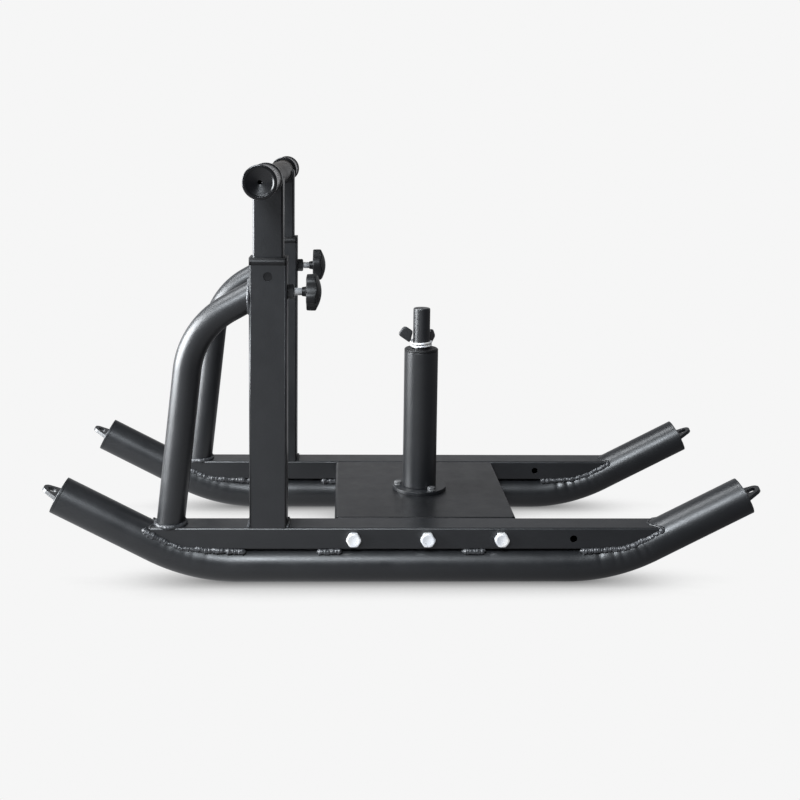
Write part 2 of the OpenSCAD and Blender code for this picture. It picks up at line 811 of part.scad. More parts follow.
module right_runner() { right_side() runner(); }
module left_runner() { left_side() runner(); }
module right_rail() { right_side() rail(); }
module left_rail() { left_side() rail(); }
module right_front_end_disc() { right_side() at_front_end() end_disc(); }
module right_rear_end_disc() { right_side() at_rear_end() end_disc(); }
module left_front_end_disc() { left_side() at_front_end() end_disc(); }
module left_rear_end_disc() { left_side() at_rear_end() end_disc(); }
module right_front_tow_lug() { right_side() at_front_end() tow_lug(); }
module right_rear_tow_lug() { right_side() at_rear_end() tow_lug(); }
module left_front_tow_lug() { left_side() at_front_end() tow_lug(); }
module left_rear_tow_lug() { left_side() at_rear_end() tow_lug(); }
module right_upright() { right_side() upright(); }
module left_upright() { left_side() upright(); }
module right_brace() { right_side() brace(); }
module left_brace() { left_side() brace(); }
module right_upright_bush() { right_side() upright_bush(); }
module left_upright_bush() { left_side() upright_bush(); }
module right_clamp_nut() { right_side() clamp_nut(); }
module left_clamp_nut() { left_side() clamp_nut(); }
module right_clamp_stud() { right_side() clamp_stud(); }
module left_clamp_stud() { left_side() clamp_stud(); }
module right_clamp_knob() { right_side() clamp_knob(0); }
module left_clamp_knob() { left_side() clamp_knob(180); }
module right_handle_leg() { right_side() handle_leg(); }
module left_handle_leg() { left_side() handle_leg(); }
module right_leg_slider() { right_side() leg_slider(); }
module left_leg_slider() { left_side() leg_slider(); }
module right_hand_grip() { hand_grip(); }
module left_hand_grip() { mirror([0, 1, 0]) hand_grip(); }
module right_deck_bolts() { right_side() deck_bolts(); }
module left_deck_bolts() { left_side() deck_bolts(); }
module right_deck_washers() { right_side() deck_washers(); }
module left_deck_washers() { left_side() deck_washers(); }
module right_deck_nuts() { right_side() deck_nuts(); }
module left_deck_nuts() { left_side() deck_nuts(); }
module collar_upper_wire_end() { upper_end() wire_end(); }
module collar_lower_wire_end() { lower_end() wire_end(); }
module collar_upper_grip() { upper_end() paddle(-wire_d * 1.3); }
module collar_lower_grip() { lower_end() paddle(-wire_d * 0.3); }

right_runner();
left_runner();
right_rail();
left_rail();
right_front_end_disc();
right_rear_end_disc();
left_front_end_disc();
left_rear_end_disc();
right_front_tow_lug();
right_rear_tow_lug();
left_front_tow_lug();
left_rear_tow_lug();
right_upright();
left_upright();
right_brace();
left_brace();
right_upright_bush();
left_upright_bush();
right_clamp_nut();
left_clamp_nut();
right_clamp_stud();
left_clamp_stud();
right_clamp_knob();
left_clamp_knob();
right_handle_leg();
left_handle_leg();
right_leg_slider();
left_leg_slider();
handlebar();
right_hand_grip();
left_hand_grip();
deck_plate();
right_deck_bolts();
left_deck_bolts();
right_deck_washers();
left_deck_washers();
right_deck_nuts();
left_deck_nuts();
post_flange();
post_pin();
post_flange_bolts();
post_flange_washers();
post_flange_nuts();
adapter_sleeve();
sleeve_top_plug();
sleeve_bottom_plug();
collar_coil();
collar_upper_wire_end();
collar_lower_wire_end();
collar_upper_grip();
collar_lower_grip();
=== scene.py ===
"""Looks of the push sled: materials, weld beads, moulded parts, light and camera."""
import math
import random

import bmesh
import bpy
from mathutils import Matrix, Vector, noise


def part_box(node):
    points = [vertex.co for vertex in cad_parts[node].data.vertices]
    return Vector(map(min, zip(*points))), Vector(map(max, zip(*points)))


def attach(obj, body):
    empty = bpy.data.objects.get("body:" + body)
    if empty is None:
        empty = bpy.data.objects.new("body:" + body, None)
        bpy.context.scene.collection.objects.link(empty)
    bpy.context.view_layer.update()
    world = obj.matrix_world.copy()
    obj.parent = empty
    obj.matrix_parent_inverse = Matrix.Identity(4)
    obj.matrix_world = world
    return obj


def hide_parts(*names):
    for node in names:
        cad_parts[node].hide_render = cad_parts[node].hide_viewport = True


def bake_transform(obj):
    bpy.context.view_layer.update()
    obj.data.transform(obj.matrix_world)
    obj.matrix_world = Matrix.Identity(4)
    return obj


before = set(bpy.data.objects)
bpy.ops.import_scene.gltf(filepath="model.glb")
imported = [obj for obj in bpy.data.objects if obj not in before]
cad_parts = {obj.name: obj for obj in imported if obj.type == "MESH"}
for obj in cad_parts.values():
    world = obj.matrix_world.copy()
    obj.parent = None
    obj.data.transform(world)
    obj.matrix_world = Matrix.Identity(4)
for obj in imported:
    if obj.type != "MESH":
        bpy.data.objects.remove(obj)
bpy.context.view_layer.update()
SCENE = bpy.context.scene
MM = 0.001
noise.seed_set(1)  # the noise vectors differ from run to run without it

# Sizes taken from the frame
RAIL_LOW, RAIL_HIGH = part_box("right_rail")
UPRIGHT_LOW, UPRIGHT_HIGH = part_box("right_upright")
LEG_LOW, LEG_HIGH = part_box("right_handle_leg")
BAR_LOW, BAR_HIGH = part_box("handlebar")
GRIP_LOW, GRIP_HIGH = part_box("right_hand_grip")
KNOB_LOW, KNOB_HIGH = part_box("right_clamp_knob")
NUT_LOW, NUT_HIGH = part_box("right_clamp_nut")
_, SLEEVE_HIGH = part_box("adapter_sleeve")
PIN_LOW, PIN_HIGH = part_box("post_pin")
LUG_LOW, LUG_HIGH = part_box("right_front_tow_lug")

RAIL_Y = -(RAIL_LOW.y + RAIL_HIGH.y) / 2
RAIL_TOP = RAIL_HIGH.z
RAIL_BOTTOM = RAIL_LOW.z
RAIL_HALF = (RAIL_HIGH.y - RAIL_LOW.y) / 2
UPRIGHT_X = (UPRIGHT_LOW.x + UPRIGHT_HIGH.x) / 2
BAR_Z = (BAR_LOW.z + BAR_HIGH.z) / 2
BAR_R = (BAR_HIGH.z - BAR_LOW.z) / 2
POST_X = (PIN_LOW.x + PIN_HIGH.x) / 2
PIN_R = (PIN_HIGH.x - PIN_LOW.x) / 2
PLUG_RIM_H = 4 * MM
SLEEVE_TOP = SLEEVE_HIGH.z + PLUG_RIM_H
CLAMP_Z = (NUT_LOW.z + NUT_HIGH.z) / 2

# The runner's centre line: a flat stretch, a bend and a rising stretch at both ends
RUNNER_R = 25.5 * MM
FLAT_HALF = 224 * MM
BEND_R = 245 * MM
RISE_ANGLE = math.radians(27.5)
RISE_L = 142 * MM

SIDES = {"right": -1, "left": 1}


# Materials: noise scales are per metre, bump distances are in metres

def new_material(name):
    """An empty node material with a Principled shader on its output."""
    material = bpy.data.materials.new(name)
    material.use_nodes = True
    tree = material.node_tree
    tree.nodes.clear()
    out = tree.nodes.new("ShaderNodeOutputMaterial")
    shader = tree.nodes.new("ShaderNodeBsdfPrincipled")
    tree.links.new(shader.outputs[0], out.inputs[0])
    return material, tree, shader


def add_noise(tree, scale, detail, roughness):
    """A noise texture on the piece's own coordinates."""
    coords = tree.nodes.new("ShaderNodeTexCoord")
    texture = tree.nodes.new("ShaderNodeTexNoise")
    texture.inputs["Scale"].default_value = scale
    texture.inputs["Detail"].default_value = detail
    texture.inputs["Roughness"].default_value = roughness
    tree.links.new(coords.outputs["Object"], texture.inputs["Vector"])
    return texture.outputs["Fac"]


def ramp(tree, factor, stops):
    """A colour ramp; each stop is (place, colour)."""
    node = tree.nodes.new("ShaderNodeValToRGB")
    elements = node.color_ramp.elements
    while len(elements) < len(stops):
        elements.new(0.5)
    for element, (place, colour) in zip(elements, stops):
        element.position = place
        element.color = (*colour, 1)
    tree.links.new(factor, node.inputs[0])
    return node.outputs[0]


def span(tree, factor, low, high, start=0.3, end=0.7):
    """Maps start to end, by default a noise's middle range, onto low to high."""
    node = tree.nodes.new("ShaderNodeMapRange")
    node.inputs["From Min"].default_value = start
    node.inputs["From Max"].default_value = end
    node.inputs["To Min"].default_value = low
    node.inputs["To Max"].default_value = high
    tree.links.new(factor, node.inputs["Value"])
    return node.outputs[0]


def mix_colour(tree, factor, a, b, blend="MIX"):
    """Mixes two colours; the factor and both colours may be sockets or plain values."""
    node = tree.nodes.new("ShaderNodeMix")
    node.data_type = "RGBA"
    node.blend_type = blend
    for socket, value in ((node.inputs[0], factor), (node.inputs[6], a), (node.inputs[7], b)):
        if isinstance(value, (int, float)):
            socket.default_value = value
        elif isinstance(value, tuple):
            socket.default_value = (*value, 1)
        else:
            tree.links.new(value, socket)
    return node.outputs[2]


def add_bump(tree, shader, layers):
    """Stacks bumps, each a (height socket, strength, distance in metres)."""
    normal = None
    for height, strength, distance in layers:
        node = tree.nodes.new("ShaderNodeBump")
        node.inputs["Strength"].default_value = strength
        node.inputs["Distance"].default_value = distance
        tree.links.new(height, node.inputs["Height"])
        if normal:
            tree.links.new(normal, node.inputs["Normal"])
        normal = node.outputs["Normal"]
    tree.links.new(normal, shader.inputs["Normal"])


def powder_coat(name, dark, light, rough, specular):
    """Satin powder coat: cloudy shade, orange peel, fine grain, dust that dulls it in patches."""
    speck_share = 0.35
    speck_gain = 1.9
    material, tree, shader = new_material(name)
    cloud = add_noise(tree, 9, 4, 0.55)
    grain = add_noise(tree, 640, 2, 0.6)
    peel = add_noise(tree, 340, 2, 0.4)
    dust = add_noise(tree, 38, 5, 0.65)
    base = ramp(tree, cloud, [(0.3, dark), (0.7, light)])
    speck = span(tree, grain, 0.0, speck_share, 0.55, 0.8)
    base = mix_colour(tree, speck, base, tuple(c * speck_gain for c in light))
    tree.links.new(base, shader.inputs["Base Color"])
    tree.links.new(span(tree, dust, *rough), shader.inputs["Roughness"])
    shader.inputs["Specular IOR Level"].default_value = specular
    add_bump(tree, shader, [(peel, 0.12, 0.0006), (grain, 0.18, 0.0004)])
    return material


def zinc_plate(name, rough=(0.24, 0.38), bump=0.08, shade=1.0):
    """Zinc plate: faint blue and straw tints, fine grain and small dull spots."""
    blue, plain, straw = (0.78, 0.80, 0.84), (0.88, 0.88, 0.88), (0.88, 0.85, 0.79)
    material, tree, shader = new_material(name)
    tint = add_noise(tree, 60, 3, 0.5)
    fine = add_noise(tree, 1500, 2, 0.5)
    dull = add_noise(tree, 260, 4, 0.6)
    base = ramp(tree, tint, [(0.3, blue), (0.55, plain), (0.75, straw)])
    base = mix_colour(tree, 1.0, base, (shade, shade, shade), "MULTIPLY")
    tree.links.new(base, shader.inputs["Base Color"])
    tree.links.new(span(tree, dull, *rough), shader.inputs["Roughness"])
    shader.inputs["Metallic"].default_value = 0.5
    add_bump(tree, shader, [(fine, bump, 0.0003)])
    return material


def moulded(name, dark, light, rough, grain_scale, grain_strength, specular):
    """Moulded plastic or rubber: fine grain, slight flow shade, worn shiny in patches."""
    material, tree, shader = new_material(name)
    flow = add_noise(tree, 24, 3, 0.5)
    grain = add_noise(tree, grain_scale, 2, 0.5)
    shine = add_noise(tree, 75, 3, 0.6)
    base = ramp(tree, flow, [(0.3, dark), (0.7, light)])
    tree.links.new(base, shader.inputs["Base Color"])
    tree.links.new(span(tree, shine, *rough), shader.inputs["Roughness"])
    shader.inputs["Specular IOR Level"].default_value = specular
    add_bump(tree, shader, [(grain, grain_strength, 0.0004)])
    return material


# Each paint: darkest and lightest shade, range of roughness, specular level
PAINT = powder_coat(
    "frame_paint", (0.0055, 0.006, 0.007), (0.008, 0.0085, 0.0095), (0.33, 0.42), 0.65)
# painted shade: the deck plate takes a darker copy of the frame paint, which keeps its lamp-lit top
# as dark as the frame
SHADED_DECK_PAINT = powder_coat(
    "deck_paint_painted_shade", (0.003, 0.0032, 0.0036), (0.005, 0.0053, 0.006), (0.32, 0.42), 0.5)
# painted light: the handlebar takes a lighter, brownish copy of the frame paint, which stands in
# for the light falling on its top
LIT_BAR_PAINT = powder_coat(
    "bar_paint_painted_light", (0.012, 0.009, 0.006), (0.017, 0.013, 0.009), (0.38, 0.5), 0.15)
# painted sheen: the weld beads take a lighter copy of the frame paint, which stands in for the
# light their ripples catch
SHEEN_WELD_PAINT = powder_coat(
    "weld_paint_painted_sheen", (0.022, 0.023, 0.025), (0.046, 0.047, 0.050), (0.30, 0.42), 0.6)
ZINC = zinc_plate("zinc")
WIRE_ZINC = zinc_plate("wire_zinc", (0.22, 0.32), 0.02)
DULL_ZINC = zinc_plate("dull_zinc", (0.3, 0.42), 0.08, 0.16)
BLACK = (0.004, 0.004, 0.0045), (0.007, 0.007, 0.0075)
SOFT_BLACK = (0.014, 0.014, 0.015), (0.022, 0.022, 0.023)
PLASTIC = moulded("black_plastic", *BLACK, (0.38, 0.5), 1400, 0.25, 0.32)
RUBBER = moulded("grip_rubber", *BLACK, (0.16, 0.26), 700, 0.04, 0.42)
SOFT_RUBBER = moulded("collar_rubber", *SOFT_BLACK, (0.4, 0.52), 1200, 0.2, 0.5)


# Mesh helpers

SAME_POINT = 1e-6


def build(name, verts, faces, material, body, replaced=(), smooth=40):
    """Makes a piece from points and faces; without a body it is left free for a blend.

    Edges sharper than smooth, in degrees, stay crisp.
    """
    mesh = bpy.data.meshes.new(name)
    mesh.from_pydata([tuple(v) for v in verts], [], faces)
    mesh.validate()
    bm = bmesh.new()
    bm.from_mesh(mesh)
    bmesh.ops.remove_doubles(bm, verts=bm.verts, dist=SAME_POINT)
    bmesh.ops.recalc_face_normals(bm, faces=bm.faces)
    bm.to_mesh(mesh)
    bm.free()
    mesh.shade_smooth()
    mesh.set_sharp_from_angle(angle=math.radians(smooth))
    mesh.materials.append(material)
    piece = bpy.data.objects.new(name, mesh)
    SCENE.collection.objects.link(piece)
    if body:
        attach(piece, body)
    if replaced:
        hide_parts(*replaced)
    return piece


def grid_faces(rows, columns, wrap_rows=False, offset=0):
    """Quads of a grid of points stored row by row, each row a closed ring."""
    faces = []
    for i in range(rows if wrap_rows else rows - 1):
        for j in range(columns):
            a = offset + i * columns + j
            b = offset + i * columns + (j + 1) % columns
            c = offset + ((i + 1) % rows) * columns + (j + 1) % columns
            d = offset + ((i + 1) % rows) * columns + j
            faces.append((a, b, c, d))
    return faces


def frames_along(path, closed=False):
    """(tangent, side, up) at each point of a path, carried along without twist."""
    count = len(path)
    tangents = []
    for i in range(count):
        ahead = path[(i + 1) % count] if closed else path[min(i + 1, count - 1)]
        back = path[i - 1] if closed else path[max(i - 1, 0)]
        tangents.append((ahead - back).normalized())
    start = Vector((0, 0, 1)) if abs(tangents[0].z) < 0.9 else Vector((1, 0, 0))
    side = tangents[0].cross(start).normalized()
    result = []
    for tangent in tangents:
        side = (side - tangent * side.dot(tangent)).normalized()
        result.append((tangent, side, side.cross(tangent).normalized()))
    return result


def sweep(path, sides, radius, closed=False):
    """Points and faces of a tube along path, with flat ends; radius(i, angle) gives its radius."""
    verts = []
    for i, (point, (_, side, up)) in enumerate(zip(path, frames_along(path, closed))):
        for j in range(sides):
            angle = 2 * math.pi * j / sides
            r = radius(i, angle)
            verts.append(point + side * (r * math.cos(angle)) + up * (r * math.sin(angle)))
    faces = grid_faces(len(path), sides, closed)
    if not closed:
        faces.append(tuple(range(sides)))
        last = (len(path) - 1) * sides
        faces.append(tuple(last + j for j in range(sides - 1, -1, -1)))
    return verts, faces


def resample(path, step):
    """The path with points about one step apart."""
    result = [path[0]]
    for a, b in zip(path, path[1:]):
        pieces = max(1, round((b - a).length / step))
        result.extend(a.lerp(b, k / pieces) for k in range(1, pieces + 1))
    return result


def lathe(profile, origin, axis, steps=96):
    """Turns a profile of (radius, height) round an axis; radius 0 closes an end."""
    axis = Vector(axis).normalized()
    start = Vector((1, 0, 0)) if abs(axis.x) < 0.9 else Vector((0, 1, 0))
    u = axis.cross(start).normalized()
    v = axis.cross(u)
    verts = []
    for r, h in profile:
        for j in range(steps):
            angle = 2 * math.pi * j / steps
            across = u * (r * math.cos(angle)) + v * (r * math.sin(angle))
            verts.append(Vector(origin) + axis * h + across)
    return verts, grid_faces(len(profile), steps)


def fillet(points, radii, steps=5):
    """Rounds the inner corners of a 2D profile, each by its own radius."""
    nearly_straight = math.radians(88)
    most = 0.49
    result = [points[0]]
    for k in range(1, len(points) - 1):
        a, b, c = (Vector(points[k + d]) for d in (-1, 0, 1))
        r = radii[k - 1]
        to_a = (a - b).normalized()
        to_c = (c - b).normalized()
        half = to_a.angle(to_c) / 2
        if r <= 0 or half > nearly_straight:
            result.append(tuple(b))
            continue
        cut = min(r / math.tan(half), (a - b).length * most, (c - b).length * most)
        start = b + to_a * cut
        end = b + to_c * cut
        for s in range(steps + 1):
            t = s / steps
            result.append(tuple(start.lerp(b, t).lerp(b.lerp(end, t), t)))
    result.append(points[-1])
    return result


# CAD nodes that stay: smooth shading, softened edges and their material

SHARP_EDGE = math.radians(35)
SAME_PLANE = math.radians(0.4)


def dress(node, material, bevel=0.0):
    """Gives a CAD node its material, softened edges and smooth shading."""
    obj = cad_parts[node]
    obj.data.materials.clear()
    obj.data.materials.append(material)
    weld = obj.modifiers.new("merge", "WELD")
    weld.merge_threshold = SAME_POINT
    flat = obj.modifiers.new("flat", "DECIMATE")
    flat.decimate_type = "DISSOLVE"
    flat.angle_limit = SAME_PLANE
    if bevel:
        edge = obj.modifiers.new("edge", "BEVEL")
        edge.width = bevel
        edge.segments = 2
        edge.limit_method = "ANGLE"
        edge.angle_limit = SHARP_EDGE
        edge.use_clamp_overlap = True
    obj.data.shade_smooth()
    obj.data.set_sharp_from_angle(angle=SHARP_EDGE)
    even = obj.modifiers.new("even", "WEIGHTED_NORMAL")
    even.keep_sharp = True
    even.weight = 100  # the largest face decides


def dress_frame():
    """Dresses each node that keeps its CAD shape."""
    small_steel = ("front_end_disc", "rear_end_disc", "front_tow_lug", "rear_tow_lug",
                   "clamp_nut")
    for side in SIDES:
        for name in ("rail", "upright", "handle_leg"):
            dress(f"{side}_{name}", PAINT)
        for name in small_steel:
            dress(f"{side}_{name}", PAINT, 0.5 * MM)
        for name in ("deck_washers", "deck_nuts"):
            dress(f"{side}_{name}", ZINC, 0.25 * MM)
        dress(f"{side}_clamp_stud", ZINC)
        dress(f"{side}_upright_bush", PLASTIC)
        dress(f"{side}_leg_slider", PLASTIC)
    # the deck takes a frame paint copy darkened as painted shade, the bar one lightened as painted
    # light
    dress("deck_plate", SHADED_DECK_PAINT)
    dress("handlebar", LIT_BAR_PAINT)
    for name in ("post_flange", "post_pin", "adapter_sleeve"):
        dress(name, PAINT, 0.6 * MM)
    for name in ("post_flange_bolts", "post_flange_washers", "post_flange_nuts"):
        dress(name, DULL_ZINC, 0.6 * MM)
    for name in ("sleeve_top_plug", "sleeve_bottom_plug"):
        dress(name, PLASTIC, 0.4 * MM)


dress_frame()


# Runners: bent tubes with the faint wrinkles that the bending die leaves

BEND_L = BEND_R * RISE_ANGLE
RUNNER_HALF_L = FLAT_HALF + BEND_L + RISE_L
# Each wrinkle: place along the bend and depth, in mm
WRINKLES = (44, 0.5), (63, 0.8), (75, 0.7), (88, 0.4), (100, 0.9), (112, 0.6)
WRINKLE_SHIFT = 1.5
WRINKLE_HALF = 4.2 * MM
# They lie on the inside of the bend, turned a little towards -Y, and are deeper at the front
WRINKLE_LEAN = 0.4
REAR_SHARE = 0.4
FRONT_SHARE = 1.3


def runner_point(s, y, up=0.0):
    """Point at distance s from the runner's middle, raised by up towards the bend's centre."""
    ahead = abs(s)
    turn = min(max(ahead - FLAT_HALF, 0) / BEND_R, RISE_ANGLE)
    past = max(0, ahead - FLAT_HALF - BEND_L)
    flat = min(ahead, FLAT_HALF)
    x = flat + (BEND_R - up) * math.sin(turn) + past * math.cos(turn)
    z = RUNNER_R + BEND_R - (BEND_R - up) * math.cos(turn) + past * math.sin(turn)
    return Vector((math.copysign(x, s), y, z))


def add_runner(side):
    """Bent tube with fine stations in its bends, which dip where the wrinkles are."""
    chance = random.Random(side)
    wrinkles = []
    for place, depth in WRINKLES:
        shift = chance.uniform(-WRINKLE_SHIFT, WRINKLE_SHIFT)
        wrinkles.append(((place + shift) * MM, depth * chance.uniform(0.8, 1.2) * MM))
    ends = 0, FLAT_HALF, FLAT_HALF + BEND_L, RUNNER_HALF_L
    steps = 28 * MM, 1.5 * MM, 12 * MM  # on the flat, in the bend and on the rise
    ahead = [0.0]
    for start, end, step in zip(ends, ends[1:], steps):
        count = round((end - start) / step)
        ahead += [start + (end - start) * k / count for k in range(1, count + 1)]
    stations = [-s for s in reversed(ahead[1:])] + ahead

    def radius(i, angle):
        into = abs(stations[i]) - FLAT_HALF
        if not 0 < into < BEND_L:
            return RUNNER_R
        share = FRONT_SHARE if stations[i] > 0 else REAR_SHARE
        dent = share * sum(depth * math.exp(-((into - place) / WRINKLE_HALF) ** 2)
                           for place, depth in wrinkles)
        return RUNNER_R - dent * max(0, math.sin(angle + WRINKLE_LEAN)) ** 0.7

    path = [runner_point(s, SIDES[side] * RAIL_Y) for s in stations]
    verts, faces = sweep(path, 72, radius)
    build(f"{side}_runner_tube", verts, faces, PAINT, "root", [f"{side}_runner"])


for side in SIDES:
    add_runner(side)


# Braces: one bent tube each, cut off along the rail's top and the upright's back

BRACE_R = 19 * MM
BRACE_BEND_R = 110 * MM
BRACE_FOOT = Vector((-317 * MM, 0, RAIL_TOP))
BRACE_END = Vector((UPRIGHT_LOW.x, 0, UPRIGHT_HIGH.z - 44 * MM))
BRACE_LEAN = math.radians(6.5)
BRACE_SLOPE = math.radians(29.5)


def brace_path(y, steps=24):
    """Centre line from the foot up, round the bend and on to the upright."""
    foot_way = Vector((math.sin(BRACE_LEAN), 0, math.cos(BRACE_LEAN)))
    end_way = Vector((math.cos(BRACE_SLOPE), 0, math.sin(BRACE_SLOPE)))
    gap = BRACE_END - BRACE_FOOT
    cross = foot_way.z * end_way.x - foot_way.x * end_way.z
    corner = BRACE_FOOT + foot_way * ((gap.z * end_way.x - gap.x * end_way.z) / cross)
    turn = foot_way.angle(end_way)
    cut = BRACE_BEND_R * math.tan(turn / 2)
    start = corner - foot_way * cut
    centre = start + Vector((foot_way.z, 0, -foot_way.x)) * BRACE_BEND_R
    arc = [centre + Matrix.Rotation(turn * k / steps, 3, "Y") @ (start - centre)
           for k in range(steps + 1)]
    end = corner + end_way * (BRACE_END - corner).length
    path = [BRACE_FOOT, BRACE_FOOT.lerp(start, 0.5)] + arc + [end]
    return [Vector((p.x, y, p.z)) for p in path]


def add_brace(side):
    """Tube whose end rings are slid along it onto the rail and the upright."""
    sides = 64
    path = brace_path(SIDES[side] * RAIL_Y)
    verts, faces = sweep(path, sides, lambda i, angle: BRACE_R)
    foot_way = path[1] - path[0]
    end_way = path[-1] - path[-2]
    for k in range(sides):
        low = verts[k]
        verts[k] = low + foot_way * ((RAIL_TOP - low.z) / foot_way.z)
        high = verts[k - sides]
        verts[k - sides] = high + end_way * ((UPRIGHT_LOW.x - high.x) / end_way.x)
    build(f"{side}_brace_tube", verts, faces, PAINT, "root", [f"{side}_brace"])


for side in SIDES:
    add_brace(side)


# Deck bolts: hex heads with a turned chamfer, and shanks with thread

DECK_BOLT_R = 6 * MM
DECK_BOLT_FLAT = 9 * MM
DECK_BOLT_PITCH = 100 * MM
THREAD_PITCH = 1.75 * MM
THREAD_DEPTH = 0.9 * MM
THREAD_L = 22 * MM
BOLT_LOW, BOLT_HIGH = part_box("right_deck_bolts")


def hex_reach(angle):
    """Distance from a head's middle to its hexagon, whose corners are turned off."""
    corner = DECK_BOLT_FLAT / math.cos(angle % (math.pi / 3) - math.pi / 6)
    return min(corner, DECK_BOLT_FLAT * 1.1)


def head_rings(r, head_h):
    """(radius, height) over the rail's face, from the head's underside to its middle."""
    chamfer_r = DECK_BOLT_FLAT * 0.92
    slope = math.tan(math.radians(30))
    dish_r = 6.1 * MM
    dish = 0.2 * MM
    edge = [(r - 0.5 * MM, 0.05 * MM), (r, 0.5 * MM), (r, head_h - (r - chamfer_r) * slope)]
    top = [(chamfer_r + 0.2 * MM, head_h - 0.15 * MM), (chamfer_r - 0.2 * MM, head_h)]
    return edge + top + [(dish_r + 0.5 * MM, head_h), (dish_r, head_h - dish), (0, head_h - dish)]


def shank_profile(length):
    """(radius, height) down the shank: plain, then thread, then a turned end."""
    shank = [(DECK_BOLT_R, -k * THREAD_PITCH / 2) for k in range(2)]
    threads = int(THREAD_L / THREAD_PITCH)
    for k in range(threads):
        at = length - 1.2 * MM - (threads - k) * THREAD_PITCH
        shank += [(DECK_BOLT_R, -at), (DECK_BOLT_R - THREAD_DEPTH, -at - THREAD_PITCH / 2)]
    end_r = DECK_BOLT_R - 1.2 * MM
    return shank + [(DECK_BOLT_R - 0.4 * MM, -length + 0.8 * MM), (end_r, -length), (0, -length)]


def add_deck_bolts(side):
    """The three bolts of one side, as one piece."""
    outward = SIDES[side]
    face_y = RAIL_Y + RAIL_HALF
    head_h = RAIL_LOW.y - BOLT_LOW.y
    level = (RAIL_LOW.z + RAIL_HIGH.z) / 2
    shank = shank_profile(BOLT_HIGH.y - RAIL_LOW.y)
    columns = 96
    angles = [2 * math.pi * j / columns for j in range(columns)]
    profiles = [(angle, head_rings(hex_reach(angle), head_h)) for angle in angles]
    rows = len(profiles[0][1])
    verts = []
    faces = []
    for place in (-1, 0, 1):
        x = POST_X + place * DECK_BOLT_PITCH
        faces += grid_faces(rows, columns, offset=len(verts))
        for i in range(rows):
            for angle, points in profiles:
                r, h = points[i]
                at = x + r * math.cos(angle), outward * (face_y + h), level + r * math.sin(angle)
                verts.append(at)
        more, more_faces = lathe(shank, (x, outward * face_y, level), (0, outward, 0), 48)
        faces += [tuple(len(verts) + k for k in face) for face in more_faces]
        verts += more
    name = f"{side}_deck_bolt_set"
    build(name, verts, faces, ZINC, "root", [f"{side}_deck_bolts"], 25)


for side in SIDES:
    add_deck_bolts(side)


# Weld beads

BEAD_STEP = 0.7 * MM
BEAD_SIDES = 14
# Least and most of a ripple's pitch, in mm; all that follows is in shares of the bead's radius
RIPPLE_PITCH = 1.9, 3.6
RIPPLE_RISE = 0.04, 0.18
BEAD_WANDER = 0.3
PLAIN_SHARE = 0.84
SWELL_SHARE = 0.2
LUMP_SHARE = 0.34


def smoothed(path, rounds=14):
    """The path with points 2 mm apart and its kinks rounded off."""
    path = resample(path, 2 * MM)
    for _ in range(rounds):
        inner = [(a + b * 2 + c) / 4 for a, b, c in zip(path, path[1:], path[2:])]
        path = [path[0]] + inner + [path[-1]]
    return path


def ripple_heights(path, radius, closed, blob, chance):
    """Share of the bead's radius at each point: ripples, slow swells and thinner ends."""
    length = BEAD_STEP * (len(path) - 1)
    ripples = []
    start = 0.0
    while start < length + 4 * MM:
        pitch = chance.uniform(*RIPPLE_PITCH) * MM
        ripples.append((start, pitch, chance.uniform(*RIPPLE_RISE)))
        start += pitch
    heights = []
    k = 0
    for i, point in enumerate(path):
        at = i * BEAD_STEP
        while at > ripples[k][0] + ripples[k][1]:
            k += 1
        first, pitch, height = ripples[k]
        rise = height * math.sin(math.pi * (at - first) / pitch) ** 0.7 if at > first else 0
        swell = SWELL_SHARE * noise.noise(point * 150)
        thick_end = 0
        taper = 1
        if not closed:
            end = min(at, length - at)
            thick_end = blob * math.exp(-((end - 3 * MM) / (4 * MM)) ** 2)
            taper = min(1, max(0.05, end / (1.2 * radius)) ** 0.5)
        heights.append(taper * (PLAIN_SHARE + rise + swell + thick_end))
    return heights


# by default a bead takes the weld paint, whose lighter colour is a painted sheen
def bead(name, path, radius, body="root", closed=False, blob=0.0, material=SHEEN_WELD_PAINT):
    """Bead of uneven ripples and lumps along a path; blob thickens its free ends."""
    path = resample(path, BEAD_STEP)
    path = [p + noise.noise_vector(p * 120) * BEAD_WANDER * radius for p in path]
    heights = ripple_heights(path, radius, closed, blob, random.Random(name))

    def ring(i, angle):
        outwards = Vector((math.cos(angle), math.sin(angle), 0))
        lump = LUMP_SHARE * noise.noise(path[i] * 560 + outwards * 1.8)
        return radius * max(0.04, heights[i] + lump * min(1, heights[i]))

    verts, faces = sweep(path, BEAD_SIDES, ring, closed)
    build(name, verts, faces, material, body, smooth=60)


def ring_path(centre, u, v, steps=72):
    """Closed ellipse; u and v are its half axes."""
    turns = [2 * math.pi * k / steps for k in range(steps)]
    return [Vector(centre) + Vector(u) * math.cos(a) + Vector(v) * math.sin(a) for a in turns]


def surface_height(across):
    """Height of the runner's surface over its centre line, at a distance across it."""
    return math.sqrt(max(0, RUNNER_R ** 2 - across ** 2))


def rise_point(height, z, y):
    """Point of the rising stretch at a height over its centre line and a level z."""
    inner = BEND_R - height
    past = (z - RUNNER_R - BEND_R + inner * math.cos(RISE_ANGLE)) / math.sin(RISE_ANGLE)
    x = FLAT_HALF + inner * math.sin(RISE_ANGLE) + past * math.cos(RISE_ANGLE)
    return Vector((x, y, z))


def flip_x(path, end):
    """The path itself at the front (end 1), mirrored to the rear (end -1)."""
    return [Vector((p.x * end, p.y, p.z)) for p in path]


# Under a rail: the stitches' ends along X, and where each end's long bead starts
STITCHES = (-119 * MM, -84 * MM), (78 * MM, 110 * MM)
COPE_BEAD_STARTS = ("rear", -1, 214 * MM), ("front", 1, 238 * MM)
GROOVE_R = 4.3 * MM
COPE_R = 4.4 * MM
TIP_R = 2.2 * MM
GROOVE_Y = 17.8 * MM
GROOVE_Z = RAIL_BOTTOM - 3.2 * MM


